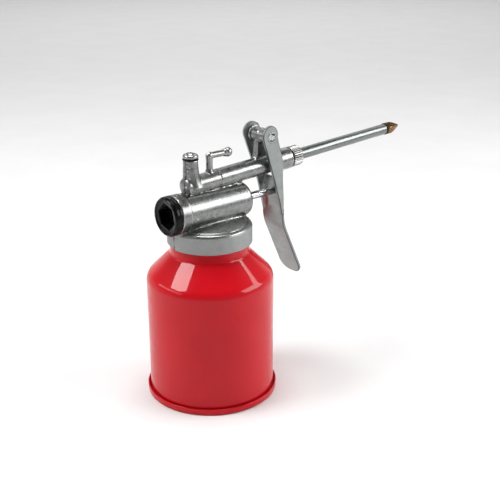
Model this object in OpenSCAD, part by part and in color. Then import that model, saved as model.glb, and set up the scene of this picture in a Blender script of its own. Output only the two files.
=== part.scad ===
// Trigger-pump oil can: a round steel can with a screwed-on cast pump head, a squeeze lever and
// a rigid spout. Millimetres, +Z up, +X towards the spout, origin at the middle of the base.

/* [Can] */
// Outside diameter of the can body
can_d = 66; // [65:0.5:67]
// Height at which the body's side and its 45 degree shoulder would meet
shoulder_z = 65.6; // [63:0.2:66]
// Outside diameter of the neck
neck_d = 40; // [39.6:0.1:40.2]
// Thickness of the can's sheet steel
can_wall = 0.6; // [0.5:0.1:0.8]
// Outside diameter of the seamed rim at the base
rim_d = 69; // [68.6:0.1:70]
// Height of the seamed rim
rim_h = 3.5; // [3:0.1:4.5]

/* [Pump head] */
// Outside diameter of the screwed collar
collar_d = 44; // [43.6:0.1:45]
// Height of the collar's lower edge above the floor
collar_z = 82.8; // [82:0.2:83.4]
// Height of the pump barrel's axis above the floor
barrel_z = 101; // [100.6:0.1:101.4]
// Outside diameter of the pump barrel at its rear
barrel_d = 19.8; // [19.4:0.1:20]
// Diameter of the pump bore
bore_d = 12; // [11:0.5:12]
// Height of the outlet tube's axis where it crosses the can's axis
tube_z = 114.4; // [114.2:0.1:114.6]
// Outside diameter of the outlet tube
tube_d = 9.7; // [9.4:0.1:10]
// Upward tilt of the outlet tube and the spout in degrees
tube_tilt = 3; // [2.6:0.1:3.2]
// Distance of the valve passage behind the can's axis
valve_back = 10.6; // [10.4:0.1:10.8]

/* [Lever] */
// Distance of the lever's pivot in front of the can's axis
pivot_x = 34.9; // [34.6:0.1:35.2]
// Height of the lever's pivot
pivot_z = 132.4; // [132:0.1:132.8]
// Outside width of the lever
lever_w = 16; // [15.6:0.1:16.4]
// Thickness of the lever's sheet steel
lever_t = 1.5; // [1.2:0.1:1.5]
// Slope of the lower grip in degrees from the vertical
grip_slope = 24; // [22:0.5:26]

/* [Spout] */
// Outside diameter of the spout tube
spout_d = 6.2; // [6:0.1:6.2]
// Distance along the outlet axis to the end of the spout tube
spout_end = 127.8; // [100:0.2:140]
// Diameter of the knurled spout nut
nut_d = 11; // [10.6:0.1:11.2]
// Flutes round the spout nut
nut_flutes = 28; // [20:1:32]

/* [Hidden] */
$fn = 64;

run = 0.05;        // radial clearance of a running fit
cut = 1;           // how far a cutting shape runs past a face

// Can
can_r = can_d / 2;
neck_r = neck_d / 2;
rim_r = rim_d / 2;
bend_r = 5;        // rounding between the side and the shoulder
panel_z = 2.4;     // underside of the recessed base panel
neck_top = 88.5;
thread_r = neck_r - 0.4;    // where the neck carries its thread
lip_w = 1.5;       // width of the rolled lip that the gasket lies on

// Collar and gasket
collar_r = collar_d / 2;
collar_bore = 20.3;
gasket_t = 1.5;
collar_roof = neck_top + gasket_t;
collar_side = 8.4; // height of the collar's straight side
deck_z = 94.4;     // top of the collar's deck

// Barrel, along X
barrel_rear = -22.3;
barrel_front = 23.1;
lip_end = -17.2;   // front end of the thicker rear lip
barrel_r = barrel_d / 2;
front_r = barrel_r - 1;
nose_r = 3.2;      // rounding of the barrel's front edge
bore_r = bore_d / 2;
bush_x = 18.1;     // rear face of the rod bush
bush_r = 3.5;
bush_len = 4;
plug_bore = 8;
plug_seat = -14;   // end of the plug's counterbore
rod_r = 2;
rod_hole = 2.35;

// Valve passage, along Z
valve_x = -valve_back;
valve_top = 127.2;
chamber_r = 2.6;
outlet_seat_z = 109.4;
inlet_roof_z = 92.5;
inlet_boss_z = 82;
inlet_boss_r = 4.6;
inlet_seat_z = 86.4;
port_r = 1.2;
ball_r = 2;
ball_rise = sqrt(ball_r * ball_r - port_r * port_r);
cap_tip = 120.5;   // lower end of the valve cap's shank
cap_under = 127.9; // underside of the valve cap's head
cap_h = 3.1;
slot_turn = -36;

// Outlet tube and spout, as distances along the tilted axis
tube_r = tube_d / 2;
tube_bore = 2.2;
tube_tail = -13.5;
tail_dome_r = 7;   // radius of the domed rear end
end_boss = 44.4;
end_boss_r = 5.7;
tube_end = 52.6;
socket = 42.1;
socket_r = 3.95;
washer_t = 1.4;
flare_t = 1.5;
flare = socket + washer_t + 0.1;
seal_t = 0.9;
nut_head = tube_end + seal_t;
nut_len = 6.9;
nut_r = nut_d / 2;
spout_r = spout_d / 2;
spout_bore = 2.2;
ring_t = 1.1;
tip_back = spout_end + ring_t;
tip_hex_af = 6.6;
tip_hex_len = 2.8;
tip_len = 10.6;

// Pump parts
plug_face = -26.8;
plug_r = 10.1;
plug_tip = -14.4;
plug_shank_r = plug_bore - run;
hex_af = 12;
hex_depth = 7.3;
hex_turn = -15;
piston_back = 10.1;
groove_x = 12.9;
groove_w = 2.2;
piston_r = bore_r - run;
rod_tip = 42.35;

// Lever
cheek_gap = lever_w / 2 - 1.4;
web_x = 42.4;
web_top = 109;
bend_z = 84.6;     // where the web and the grip would meet
grip_end = 51.5;
bend_in = 9;       // inside radius of the bend
ear_r = 5.6;
pin_r = 2.6;
pin_bore = 2.1;
lip_r = 2.9;       // rolled lips of the hollow rivet
lip_t = 0.3;
lug_half = 5;
washer_r = 4.2;

// Points of an arc about [x, y], from angle a to angle b, in n steps
function arc(x, y, r, a, b, n = 8) =
    [for (i = [0:n]) let (t = a + (b - a) * i / n) [x + r * cos(t), y + r * sin(t)]];

// Height along a coil spring with closed ends, after t of its turns
function coil_z(t, turns, len, wire) =
    t < 1 ? wire * (t + 0.5)
    : t > turns - 1 ? len - wire * (turns - t + 0.5)
    : 1.5 * wire + (t - 1) * (len - 3 * wire) / (turns - 2);

// Draws along the barrel's axis: +Z of the children runs along +X
module on_barrel(x = 0) {
    translate([x, 0, barrel_z])
        rotate([0, 90, 0])
            children();
}

// Draws along the tilted outlet axis, at a distance s from the can's axis
module on_tube(s = 0) {
    translate([0, 0, tube_z])
        rotate([0, 90 - tube_tilt, 0])
            translate([0, 0, s])
                children();
}

// Draws on the valve passage's axis at height z
module on_valve(z = 0) {
    translate([valve_x, 0, z])
        children();
}

// Draws along Y through the lever's pivot
module on_pivot() {
    translate([pivot_x, 0, pivot_z])
        rotate([90, 0, 0])
            children();
}

// A plate in the XZ plane, w wide about the middle plane
module upright(w) {
    rotate([90, 0, 0])
        linear_extrude(w, center = true)
            children();
}

module ring(r_out, r_in, h) {
    rotate_extrude()
        translate([r_in, 0])
            square([r_out - r_in, h]);
}

module o_ring(r_mid, r_wire) {
    rotate_extrude()
        translate([r_mid, 0])
            circle(r_wire, $fn = 32);
}

// Coil spring of round wire standing on z = 0
module coil(r_mid, wire, len, turns, steps = 16, sides = 6) {
    last = turns * steps;
    rings = [for (i = [0:last], k = [0:sides - 1])
        let (a = 360 * i / steps, b = 360 * k / sides, r = r_mid + wire / 2 * cos(b))
        [r * cos(a), r * sin(a), coil_z(i / steps, turns, len, wire) + wire / 2 * sin(b)]];
    skin = [for (i = [0:last - 1], k = [0:sides - 1])
        let (m = (k + 1) % sides, p = i * sides, q = p + sides)
        [p + k, q + k, q + m, p + m]];
    near_end = [for (k = [0:sides - 1]) k];
    far_end = [for (k = [0:sides - 1]) last * sides + sides - 1 - k];
    polyhedron(points = rings, faces = concat([near_end], skin, [far_end]), convexity = 10);
}

// Outline of half the can's section, moved inwards by t
function can_side(t) =
    let (r = can_r - t, bend = bend_r - t, c = bend_r * tan(22.5))
    concat(arc(can_r - bend_r, shoulder_z - c, bend, 0, 45),
        [[neck_r - t + 0.6, shoulder_z + can_r - neck_r - 0.6 - t * (sqrt(2) - 1)],
            [neck_r - t, shoulder_z + can_r - neck_r + 0.9]]);

module can_shell() {
    color("firebrick")
        rotate_extrude($fn = 96)
            polygon(concat([[can_r, can_wall]], can_side(0),
                [[neck_r, collar_z - 0.6], [thread_r, collar_z - 0.2], [thread_r, neck_top],
                    [thread_r - lip_w, neck_top], [thread_r - lip_w, neck_top - 1.2],
                    [thread_r - can_wall, neck_top - 2], [thread_r - can_wall, collar_z - 0.4],
                    [neck_r - can_wall, collar_z - 0.8]],
                [for (i = [len(can_side(0)) - 1:-1:0]) can_side(can_wall)[i]],
                [[can_r - can_wall, can_wall]]));
}

module can_base() {
    chuck_r = can_r - 2 * can_wall;
    color("brown")
        rotate_extrude($fn = 96)
            polygon(concat([[0, panel_z], [chuck_r - 0.8, panel_z], [chuck_r, panel_z - 0.8],
                    [chuck_r, 0.3], [chuck_r + 0.3, 0]],
                arc(rim_r - 0.7, 0.7, 0.7, -90, 0, 5), arc(rim_r - 0.7, rim_h - 0.7, 0.7, 0, 90, 5),
                [[can_r, rim_h], [can_r, can_wall], [can_r - can_wall, can_wall],
                    [can_r - can_wall, panel_z + can_wall], [0, panel_z + can_wall]]));
}

module neck_gasket() {
    color("dimgray")
        translate([0, 0, neck_top])
            ring(thread_r + 0.3, thread_r - lip_w - 0.8, gasket_t);
}

// Collar: a cap with a straight side and a softly domed deck
module collar_shape() {
    rotate_extrude($fn = 96)
        polygon(concat([[0, collar_z], [collar_r - 0.4, collar_z], [collar_r, collar_z + 0.4]],
            arc(collar_r - 1.6, collar_z + collar_side, 1.6, 0, 66, 6),
            [[collar_r - 4.4, deck_z], [0, deck_z]]));
}

module barrel_shape() {
    on_barrel()
        rotate_extrude()
            polygon(concat([[0, barrel_rear], [barrel_r + 0.2, barrel_rear],
                    [barrel_r + 0.2, lip_end], [barrel_r - 0.1, lip_end + 0.3]],
                arc(front_r - nose_r, barrel_front - nose_r, nose_r, 0, 90),
                [[0, barrel_front]]));
}

module outlet_shape() {
    dome = tail_dome_r - sqrt(tail_dome_r * tail_dome_r - tube_r * tube_r);
    on_tube(tube_tail)
        cylinder(r = tube_r, h = end_boss - tube_tail);
    on_tube(tube_tail)
        intersection() {
            translate([0, 0, tail_dome_r - dome])
                sphere(tail_dome_r);
            translate([0, 0, -tube_r])
                cylinder(r = tube_r, h = 2 * tube_r);
        }
    on_tube(end_boss - 1.5)
        cylinder(r1 = tube_r, r2 = end_boss_r, h = 1.5);
    on_tube(end_boss)
        cylinder(r = end_boss_r, h = tube_end - end_boss);
    // web that ties the tube to the barrel
    upright(6)
        polygon([[-14.5, barrel_z], [-14.5, tube_z], [barrel_front - 3.4, tube_z],
            [barrel_front - 2.6, barrel_z + 6]]);
}

module valve_boss_shape() {
    on_valve()
        rotate_extrude()
            polygon([[0, tube_z], [5.6, tube_z + 1], [5, tube_z + 3.4], [4.2, tube_z + 6.6],
                [3.8, valve_top - 2], [3.7, valve_top], [0, valve_top]]);
}

module lug_shape() {
    upright(3)
        polygon([[pivot_x - 5.6, tube_z + 3], [pivot_x - 4.6, pivot_z - 4], [pivot_x - 3.4, pivot_z],
            [pivot_x + 3.4, pivot_z], [pivot_x + 4, pivot_z - 5], [pivot_x + 7, tube_z + 5]]);
    on_pivot()
        cylinder(r = 3.6, h = 2 * lug_half, center = true);
}

// Hanging hook: a post, an elbow and a short arm with a rounded end
module hook_shape() {
    hook_x = 0.8;
    hook_z = 127.3;
    post_r = 1.7;
    arm_end = 12.4;
    translate([hook_x, 0, tube_z + 3])
        cylinder(r = post_r, h = hook_z - tube_z - 3, $fn = 32);
    translate([hook_x, 0, tube_z + 4])
        cylinder(r1 = 3, r2 = post_r, h = 2.2, $fn = 32);
    translate([hook_x, 0, hook_z])
        sphere(post_r, $fn = 32);
    translate([hook_x, 0, hook_z])
        rotate([0, 90, 0])
            cylinder(r = 1.6, h = arm_end - hook_x, $fn = 32);
    translate([arm_end, 0, hook_z])
        sphere(2.4, $fn = 32);
}

module pump_head() {
    color("silver")
        difference() {
            union() {
                collar_shape();
                barrel_shape();
                outlet_shape();
                valve_boss_shape();
                lug_shape();
                hook_shape();
                on_valve(inlet_boss_z)
                    cylinder(r = inlet_boss_r, h = collar_roof - inlet_boss_z + cut);
            }
            // collar's inside, round the inlet boss
            difference() {
                translate([0, 0, collar_z - cut])
                    cylinder(r = collar_bore, h = collar_roof - collar_z + cut, $fn = 96);
                on_valve(collar_z - 2 * cut)
                    cylinder(r = inlet_boss_r, h = 12);
            }
            // pump bore, plug counterbore, bush seat and rod hole
            on_barrel(plug_seat - cut)
                cylinder(r = bore_r, h = bush_x - plug_seat + cut);
            on_barrel(barrel_rear - cut)
                cylinder(r = plug_bore, h = plug_seat - barrel_rear + cut);
            on_barrel(bush_x - 0.1)
                cylinder(r = bush_r, h = bush_len + 0.1);
            on_barrel(bush_x)
                cylinder(r = rod_hole, h = 9);
            // outlet chamber and port above the bore
            on_valve(outlet_seat_z)
                cylinder(r = chamber_r, h = valve_top - outlet_seat_z + cut);
            on_valve(barrel_z + 3)
                cylinder(r = port_r, h = outlet_seat_z - barrel_z - 2);
            // inlet chamber below the bore, with a cross slot that the ball can't close
            on_valve(collar_z - 2 * cut)
                cylinder(r = chamber_r + 0.4, h = inlet_seat_z - collar_z + 2 * cut);
            on_valve(inlet_seat_z - cut)
                cylinder(r = chamber_r, h = inlet_roof_z - inlet_seat_z + cut);
            on_valve(inlet_roof_z + 2)
                cube([4.4, 1.6, 5], center = true);
            // outlet bore and the spout's socket
            on_tube(valve_x)
                cylinder(r = tube_bore, h = socket - valve_x + 1);
            on_tube(socket)
                cylinder(r = socket_r, h = tube_end - socket + cut);
            on_pivot()
                cylinder(r = pin_r + run, h = lever_w, center = true);
        }
}

module rod_bush() {
    color("darkgoldenrod")
        on_barrel(bush_x)
            ring(bush_r, rod_r + run, bush_len);
}

module rear_plug() {
    color([0.08, 0.08, 0.09])
        difference() {
            on_barrel()
                rotate_extrude()
                    polygon([[0, plug_face + 0.6], [8.3, plug_face + 0.6], [8.6, plug_face],
                        [9.3, plug_face], [plug_r, plug_face + 0.8], [plug_r, barrel_rear - 0.5],
                        [plug_r - 0.3, barrel_rear], [plug_shank_r, barrel_rear],
                        [plug_shank_r, -18.6], [6.6, -18.6], [6.6, -16.7], [plug_shank_r, -16.7],
                        [plug_shank_r, plug_tip], [0, plug_tip]]);
            on_barrel(plug_face - cut)
                rotate([0, 0, hex_turn])
                    cylinder(d = hex_af / cos(30), h = hex_depth + cut, $fn = 6);
        }
}

module rear_plug_seal() {
    color([0.15, 0.15, 0.15])
        on_barrel(-17.65)
            o_ring(7.3, 0.67);
}

module valve_cap() {
    color("gainsboro")
        difference() {
            on_valve()
                rotate_extrude()
                    polygon(concat([[0, cap_tip], [chamber_r - run, cap_tip],
                            [chamber_r - run, cap_under]],
                        arc(2.5, cap_under + 1.5, 1.5, -80, 78, 8),
                        [[0, cap_under + cap_h]]));
            on_valve(cap_under + cap_h)
                rotate([0, 0, slot_turn])
                    cube([3.8, 1, 2], center = true);
        }
}

module valve_cap_seal() {
    color([0.1, 0.1, 0.1])
        on_valve(valve_top)
            ring(3.85, chamber_r, cap_under - valve_top);
}

module outlet_ball() {
    color("lightsteelblue")
        on_valve(outlet_seat_z + ball_rise)
            sphere(ball_r, $fn = 48);
}

module outlet_spring() {
    foot = outlet_seat_z + ball_rise + ball_r + 0.05;
    color("lightgray")
        on_valve(foot)
            coil(1.5, 0.4, cap_tip - foot - 0.05, 6, 14);
}

module inlet_seat() {
    spigot_z = 76;
    color("darkgoldenrod")
        on_valve()
            rotate_extrude()
                polygon([[1, spigot_z], [1.8, spigot_z], [1.8, inlet_boss_z],
                    [chamber_r + 0.4, inlet_boss_z], [chamber_r + 0.4, inlet_seat_z],
                    [port_r, inlet_seat_z], [1, inlet_seat_z - 0.5]]);
}

module inlet_ball() {
    color("lightsteelblue")
        on_valve(inlet_seat_z + ball_rise)
            sphere(ball_r, $fn = 48);
}

module suction_tube() {
    color("whitesmoke")
        on_valve(7)
            ring(2.5, 1.8, inlet_boss_z - 7);
}

module suction_strainer() {
    color("goldenrod")
        on_valve(4.4)
            difference() {
                cylinder(r = 4.2, h = 9);
                translate([0, 0, 0.8])
                    cylinder(r = 3.4, h = 7.2);
                cylinder(r = 2.5, h = 10);
                for (a = [0:60:150])
                    translate([0, 0, 4.4])
                        rotate([0, 0, a])
                            cube([10, 1, 5], center = true);
            }
}

module plunger_rod() {
    shank = rod_tip - rod_r - piston_back - 1.6;
    color("lightgray")
        on_barrel(piston_back + 1.6) {
            cylinder(r = rod_r, h = shank);
            translate([0, 0, shank])
                sphere(rod_r, $fn = 48);
        }
}

module piston() {
    inner_r = 4.5;
    color("darkgoldenrod")
        on_barrel()
            rotate_extrude()
                polygon([[0, piston_back], [piston_r - 0.4, piston_back],
                    [piston_r, piston_back + 0.4], [piston_r, groove_x], [inner_r, groove_x],
                    [inner_r, groove_x + groove_w], [piston_r, groove_x + groove_w],
                    [piston_r, bush_x - 0.4], [piston_r - 0.4, bush_x], [rod_r, bush_x],
                    [rod_r, piston_back + 1.6], [0, piston_back + 1.6]]);
}

module piston_seal() {
    color([0.12, 0.12, 0.12])
        on_barrel(groove_x + groove_w / 2)
            o_ring(5.26, 0.7);
}

module return_spring() {
    color("lightgray")
        on_barrel(plug_tip + 0.05)
            coil(4.7, 0.9, piston_back - plug_tip - 0.1, 10);
}

// Side outline of one lever cheek, narrowing downwards to nothing
function cheek_outline() =
    concat(arc(pivot_x - 0.9, pivot_z + 0.8, ear_r, -20, 200, 14),
        [[34, 118.4], [37.8, 107.2], [41.2, 96], [web_x + 0.3, 87], [web_x + lever_t, 86],
            [web_x + lever_t, 112.5], [43.4, 119.4]]);

// Section of the lever's web and sloping grip
module web_section() {
    a = grip_slope;
    run_z = bend_z - grip_end;
    centre_x = web_x + lever_t + bend_in;
    centre_z = bend_z + (bend_in + lever_t / 2) * tan(a / 2);
    foot = [web_x + lever_t / 2 + run_z * tan(a), grip_end];
    half = lever_t / 2 * [cos(a), sin(a)];
    polygon(concat([[web_x + lever_t, web_top], [web_x, web_top]],
        arc(centre_x, centre_z, bend_in + lever_t, 180, 180 + a, 5),
        [foot - half, foot + half],
        arc(centre_x, centre_z, bend_in, 180 + a, 180, 5)));
}

module trigger_lever() {
    corner = 6;
    color("darkgray")
        difference() {
            union() {
                intersection() {
                    upright(lever_w)
                        web_section();
                    // front view: the grip's lower corners are round
                    rotate([90, 0, 90])
                        linear_extrude(100)
                            union() {
                                translate([-lever_w / 2, grip_end + corner])
                                    square([lever_w, 70]);
                                translate([-lever_w / 2 + corner, grip_end - 1])
                                    square([lever_w - 2 * corner, 20]);
                                for (s = [-1, 1])
                                    translate([s * (lever_w / 2 - corner), grip_end + corner])
                                        circle(corner + 0.001);
                            }
                }
                for (s = [-1, 1])
                    translate([0, s * (cheek_gap + lever_w / 2) / 2, 0])
                        upright(lever_w / 2 - cheek_gap)
                            polygon(cheek_outline());
            }
            on_pivot()
                cylinder(r = pin_r, h = 2 * lever_w, center = true);
        }
}

module pivot_rivet() {
    color("gainsboro")
        on_pivot()
            difference() {
                union() {
                    cylinder(r = pin_r, h = lever_w + lip_t, center = true);
                    for (s = [-1, 1])
                        translate([0, 0, s * (lever_w + lip_t) / 2])
                            cylinder(r = lip_r, h = lip_t, center = true);
                }
                cylinder(r = pin_bore, h = 2 * lever_w, center = true);
            }
}

module pivot_washers() {
    color("silver")
        for (s = [-1, 1])
            translate([0, s * (lug_half + cheek_gap) / 2, 0])
                on_pivot()
                    difference() {
                        cylinder(r = washer_r, h = cheek_gap - lug_half - 0.1, center = true);
                        cylinder(r = pin_r, h = 10, center = true);
                    }
}

module spout_tube() {
    color("lightsteelblue")
        on_tube()
            rotate_extrude()
                polygon([[spout_bore, flare], [socket_r - 0.1, flare],
                    [socket_r - 0.1, flare + flare_t], [spout_r, flare + flare_t],
                    [spout_r, spout_end], [spout_bore, spout_end]]);
}

module spout_washer() {
    color("sienna")
        on_tube(socket)
            ring(socket_r - 0.1, spout_bore, washer_t);
}

module outlet_seal() {
    color([0.1, 0.1, 0.1])
        on_tube(tube_end)
            ring(nut_r - 0.1, socket_r, seal_t);
}

module spout_nut() {
    flute_r = 0.42;
    shank_start = flare + flare_t + 0.05;
    color("gainsboro")
        on_tube()
            difference() {
                rotate_extrude()
                    polygon([[spout_r + run, shank_start], [socket_r - 0.1, shank_start],
                        [socket_r - 0.1, nut_head], [nut_r - 0.4, nut_head],
                        [nut_r, nut_head + 0.4], [nut_r, nut_head + nut_len - 0.8],
                        [nut_r - 1, nut_head + nut_len], [spout_r + run, nut_head + nut_len]]);
                for (k = [0:nut_flutes - 1])
                    rotate([0, 0, 360 * k / nut_flutes])
                        translate([nut_r + 0.12, 0, nut_head - cut])
                            cylinder(r = flute_r, h = nut_len + 2 * cut, $fn = 24);
            }
}

module tip_seal() {
    color([0.1, 0.1, 0.1])
        on_tube(spout_end)
            ring(spout_r + 0.2, spout_bore, ring_t);
}

module spout_tip() {
    orifice = 0.5;
    color("peru")
        on_tube()
            difference() {
                union() {
                    translate([0, 0, tip_back])
                        rotate([0, 0, 10])
                            cylinder(d = tip_hex_af / cos(30), h = tip_hex_len, $fn = 6);
                    rotate_extrude()
                        polygon([[0, spout_end - 5], [spout_bore - run, spout_end - 5],
                            [spout_bore - run, tip_back], [3.2, tip_back + tip_hex_len],
                            [1, tip_back + tip_len], [0, tip_back + tip_len]]);
                }
                translate([0, 0, spout_end - 6])
                    cylinder(r = orifice, h = 20, $fn = 32);
                translate([0, 0, spout_end - 6])
                    cylinder(r = 1.5, h = 8, $fn = 32);
            }
}

can_shell();
can_base();
neck_gasket();
pump_head();
rod_bush();
rear_plug();
rear_plug_seal();
valve_cap();
valve_cap_seal();
outlet_spring();
outlet_ball();
inlet_seat();
inlet_ball();
suction_tube();
suction_strainer();
plunger_rod();
piston();
piston_seal();
return_spring();
trigger_lever();
pivot_rivet();
pivot_washers();
spout_tube();
spout_washer();
outlet_seal();
spout_nut();
tip_seal();
spout_tip();
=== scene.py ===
"""Looks of the trigger-pump oil can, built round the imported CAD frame.

Every shape is laid out in millimetres in the CAD's frame, and scaled to metres as its mesh is made.
"""

import math

import bmesh
import bpy
import numpy as np
import openvdb
from mathutils import Matrix, Vector


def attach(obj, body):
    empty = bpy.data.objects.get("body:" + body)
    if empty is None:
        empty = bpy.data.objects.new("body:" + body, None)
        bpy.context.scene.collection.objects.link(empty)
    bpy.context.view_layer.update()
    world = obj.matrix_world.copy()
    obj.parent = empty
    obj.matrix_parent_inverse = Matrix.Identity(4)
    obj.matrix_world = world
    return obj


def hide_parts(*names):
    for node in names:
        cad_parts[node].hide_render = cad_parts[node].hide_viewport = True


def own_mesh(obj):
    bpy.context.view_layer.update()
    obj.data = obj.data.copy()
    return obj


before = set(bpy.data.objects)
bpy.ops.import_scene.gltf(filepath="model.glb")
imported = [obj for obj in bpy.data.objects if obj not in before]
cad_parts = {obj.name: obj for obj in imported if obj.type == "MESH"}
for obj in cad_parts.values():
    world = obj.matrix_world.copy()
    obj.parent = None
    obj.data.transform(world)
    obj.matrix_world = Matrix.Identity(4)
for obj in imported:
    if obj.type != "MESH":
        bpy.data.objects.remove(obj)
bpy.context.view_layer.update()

MM = 0.001
X = np.array((1.0, 0.0, 0.0))
Y = np.array((0.0, 1.0, 0.0))
Z = np.array((0.0, 0.0, 1.0))

# The can, which stands on z = 0 round the z axis. All sizes are in millimetres
CAN_FOOT = 0.6          # lower edge of the can's side, inside the rim
CAN_RADIUS = 33.0
CAN_INSIDE = 32.4
RIM_RADIUS = 34.5
SHOULDER_Z = 65.3       # where the side turns in to the shoulder
NECK_RADIUS = 19.6
NECK_TOP = 88.5
THREAD_START, THREAD_END = 83.2, 88.2
THREAD_PITCH = 2.4

# The casting: a barrel along x, a valve boss along z and an outlet tube that rises forwards
BARREL_Z = 101.0
VALVE_X = -10.6
TUBE_Z = 114.4
TILT = math.radians(3)
TUBE = np.array((math.cos(TILT), 0.0, math.sin(TILT)))
DECK_TOP = 94.7         # top of the collar's slightly domed deck
DECK_CURVE = 118        # radius of that dome
PLUG_BACK = -22.3       # the barrel's rear face, which the plug closes
BUSH_BACK = 18.1        # rear face of the rod's bush, where the piston rests
BORE_RADIUS = 6.0
VALVE_SEAT = 109.4      # height of the seat under the outlet ball
PORT_RADIUS = 1.2

# The lever and its rod
PIVOT = np.array((34.9, 0.0, 132.4))
PIN_RADIUS = 2.6
SHEET = 1.5             # thickness of the lever's steel
LEVER_HALF = 8.0        # half the width of the lever
WEB_FRONT = 43.9
GRIP_SLOPE = 24         # degrees between the lever's web and its grip
ROD_RADIUS = 2.0

# The spout, by distance along the outlet tube's axis
TUBE_END = 52.6         # face of the outlet tube's end boss
NUT_HEAD = 53.5
PIPE_END = 127.8
TIP_BACK = 128.9

FAR = 1e9               # a distance that never wins


def at(x, y, z):
    return np.array((x, y, z), float)


def on_barrel(x=0.0):
    return at(x, 0, BARREL_Z)


def on_valve(z=0.0):
    return at(VALVE_X, 0, z)


def on_tube(s=0.0):
    return at(0, 0, TUBE_Z) + TUBE * s


# ---------------------------------------------------------------- meshes

def make_object(name, points, faces):
    """A smooth-shaded mesh object from points in millimetres."""
    mesh = bpy.data.meshes.new(name)
    mesh.from_pydata([tuple(p) for p in np.asarray(points, float) * MM], [], faces)
    mesh.validate()
    tool = bmesh.new()
    tool.from_mesh(mesh)
    bmesh.ops.recalc_face_normals(tool, faces=tool.faces)
    tool.to_mesh(mesh)
    tool.free()
    mesh.shade_smooth()
    mesh.set_sharp_from_angle(angle=math.radians(38))
    obj = bpy.data.objects.new(name, mesh)
    bpy.context.scene.collection.objects.link(obj)
    return obj


def rounded(corners, steps=5):
    """A profile of (s, r) pairs from corners (s, r) or (s, r, fillet radius)."""
    path = []
    for i, corner in enumerate(corners):
        here = np.array(corner[:2], float)
        if len(corner) == 2 or i in (0, len(corners) - 1):
            path.append(tuple(here))
            continue
        before = np.array(corners[i - 1][:2], float) - here
        after = np.array(corners[i + 1][:2], float) - here
        before_len, after_len = np.linalg.norm(before), np.linalg.norm(after)
        before, after = before / before_len, after / after_len
        half = math.acos(max(-1.0, min(1.0, float(before @ after)))) / 2
        if half > math.radians(89.5):
            path.append(tuple(here))
            continue
        reach = min(corner[2] / math.tan(half), 0.49 * before_len, 0.49 * after_len)
        radius = reach * math.tan(half)
        middle = (before + after) / np.linalg.norm(before + after)
        centre = here + middle * radius / math.sin(half)
        first = here + before * reach - centre
        last = here + after * reach - centre
        sweep = math.pi - 2 * half
        for k in range(steps + 1):
            t = k / steps
            spoke = first * math.sin((1 - t) * sweep) + last * math.sin(t * sweep)
            path.append(tuple(centre + spoke / math.sin(sweep)))
    return path


def lathe(name, profile, origin, axis=Z, turns=96, closed=False):
    """Turns (s, r) pairs about an axis. r may be a function of the angle; r = 0 is on the axis."""
    across = Y if abs(axis[1]) < 0.5 else np.cross(axis, X)
    side = np.array((axis[2], 0.0, -axis[0])) if abs(axis[1]) < 0.5 else X
    angle = np.arange(turns) * 2 * math.pi / turns
    points, rows = [], []
    for s, r in profile:
        radius = r(angle) if callable(r) else np.full(turns, float(r))
        if radius.max() < 1e-6:
            rows.append([len(points)])
            points.append(origin + axis * s)
            continue
        rows.append(list(range(len(points), len(points) + turns)))
        spokes = np.outer(np.cos(angle), side) + np.outer(np.sin(angle), across)
        points.extend(origin + axis * s + spokes * radius[:, None])
    faces = []
    pairs = list(zip(rows, rows[1:])) + ([(rows[-1], rows[0])] if closed else [])
    for a, b in pairs:
        for k in range(turns):
            m = (k + 1) % turns
            quad = [a[k % len(a)], a[m % len(a)], b[m % len(b)], b[k % len(b)]]
            face = [v for i, v in enumerate(quad) if v not in quad[:i]]
            if len(face) > 2:
                faces.append(face)
    for row in (rows[0], rows[-1]):
        if not closed and len(row) > 1:
            faces.append(row)
    return make_object(name, points, faces)


def coil(name, origin, axis, radius, wire, length, turns, steps=40, sides=12):
    """A compression spring with closed ends."""
    across = np.cross(axis, Y)
    points, faces = [], []
    last = turns * steps
    for i in range(last + 1):
        t = i / steps
        if t < 1:
            s = wire * (t + 0.5)
        elif t > turns - 1:
            s = length - wire * (turns - t + 0.5)
        else:
            s = 1.5 * wire + (t - 1) * (length - 3 * wire) / (turns - 2)
        a = 2 * math.pi * t
        out = across * math.cos(a) + Y * math.sin(a)
        for k in range(sides):
            b = 2 * math.pi * k / sides
            points.append(origin + axis * (s + wire / 2 * math.sin(b))
                          + out * (radius + wire / 2 * math.cos(b)))
    for i in range(last):
        for k in range(sides):
            m = (k + 1) % sides
            faces.append([i * sides + k, i * sides + sides + k,
                          i * sides + sides + m, i * sides + m])
    faces.append(list(range(sides)))
    faces.append(list(range(last * sides, last * sides + sides)))
    return make_object(name, points, faces)


# ---------------------------------------------------------------- distance fields

def dist(p, centre):
    return np.linalg.norm(p - centre, axis=-1)


def both(a, b, edge=0.0):
    """Where two fields overlap, with the edge between them rounded."""
    a, b = a + edge, b + edge
    return np.minimum(np.maximum(a, b), 0) + np.hypot(np.maximum(a, 0), np.maximum(b, 0)) - edge


def join(a, b, fillet=0.01):
    """Two fields melted together with a fillet."""
    h = np.maximum(fillet - np.abs(a - b), 0) / fillet
    return np.minimum(a, b) - h * h * fillet / 4


def carve(a, hole, edge=0.12):
    """A field with a hole cut into it, its mouth broken by a small edge."""
    return -join(-a, hole, edge)


def rod(p, start, axis, length, radius, edge=0.2):
    """A round bar, rounded at its ends' edges. radius may be a function of the way along."""
    q = p - start
    s = q @ axis
    off = np.sqrt(np.maximum((q * q).sum(-1) - s * s, 0))
    wide = radius(s) if callable(radius) else radius
    return both(off - wide, np.abs(s - length / 2) - length / 2, edge)


def capsule(p, a, b, radius):
    along = b - a
    t = np.clip(((p - a) @ along) / (along @ along), 0, 1)
    return np.linalg.norm(p - a - t[..., None] * along, axis=-1) - radius


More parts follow.
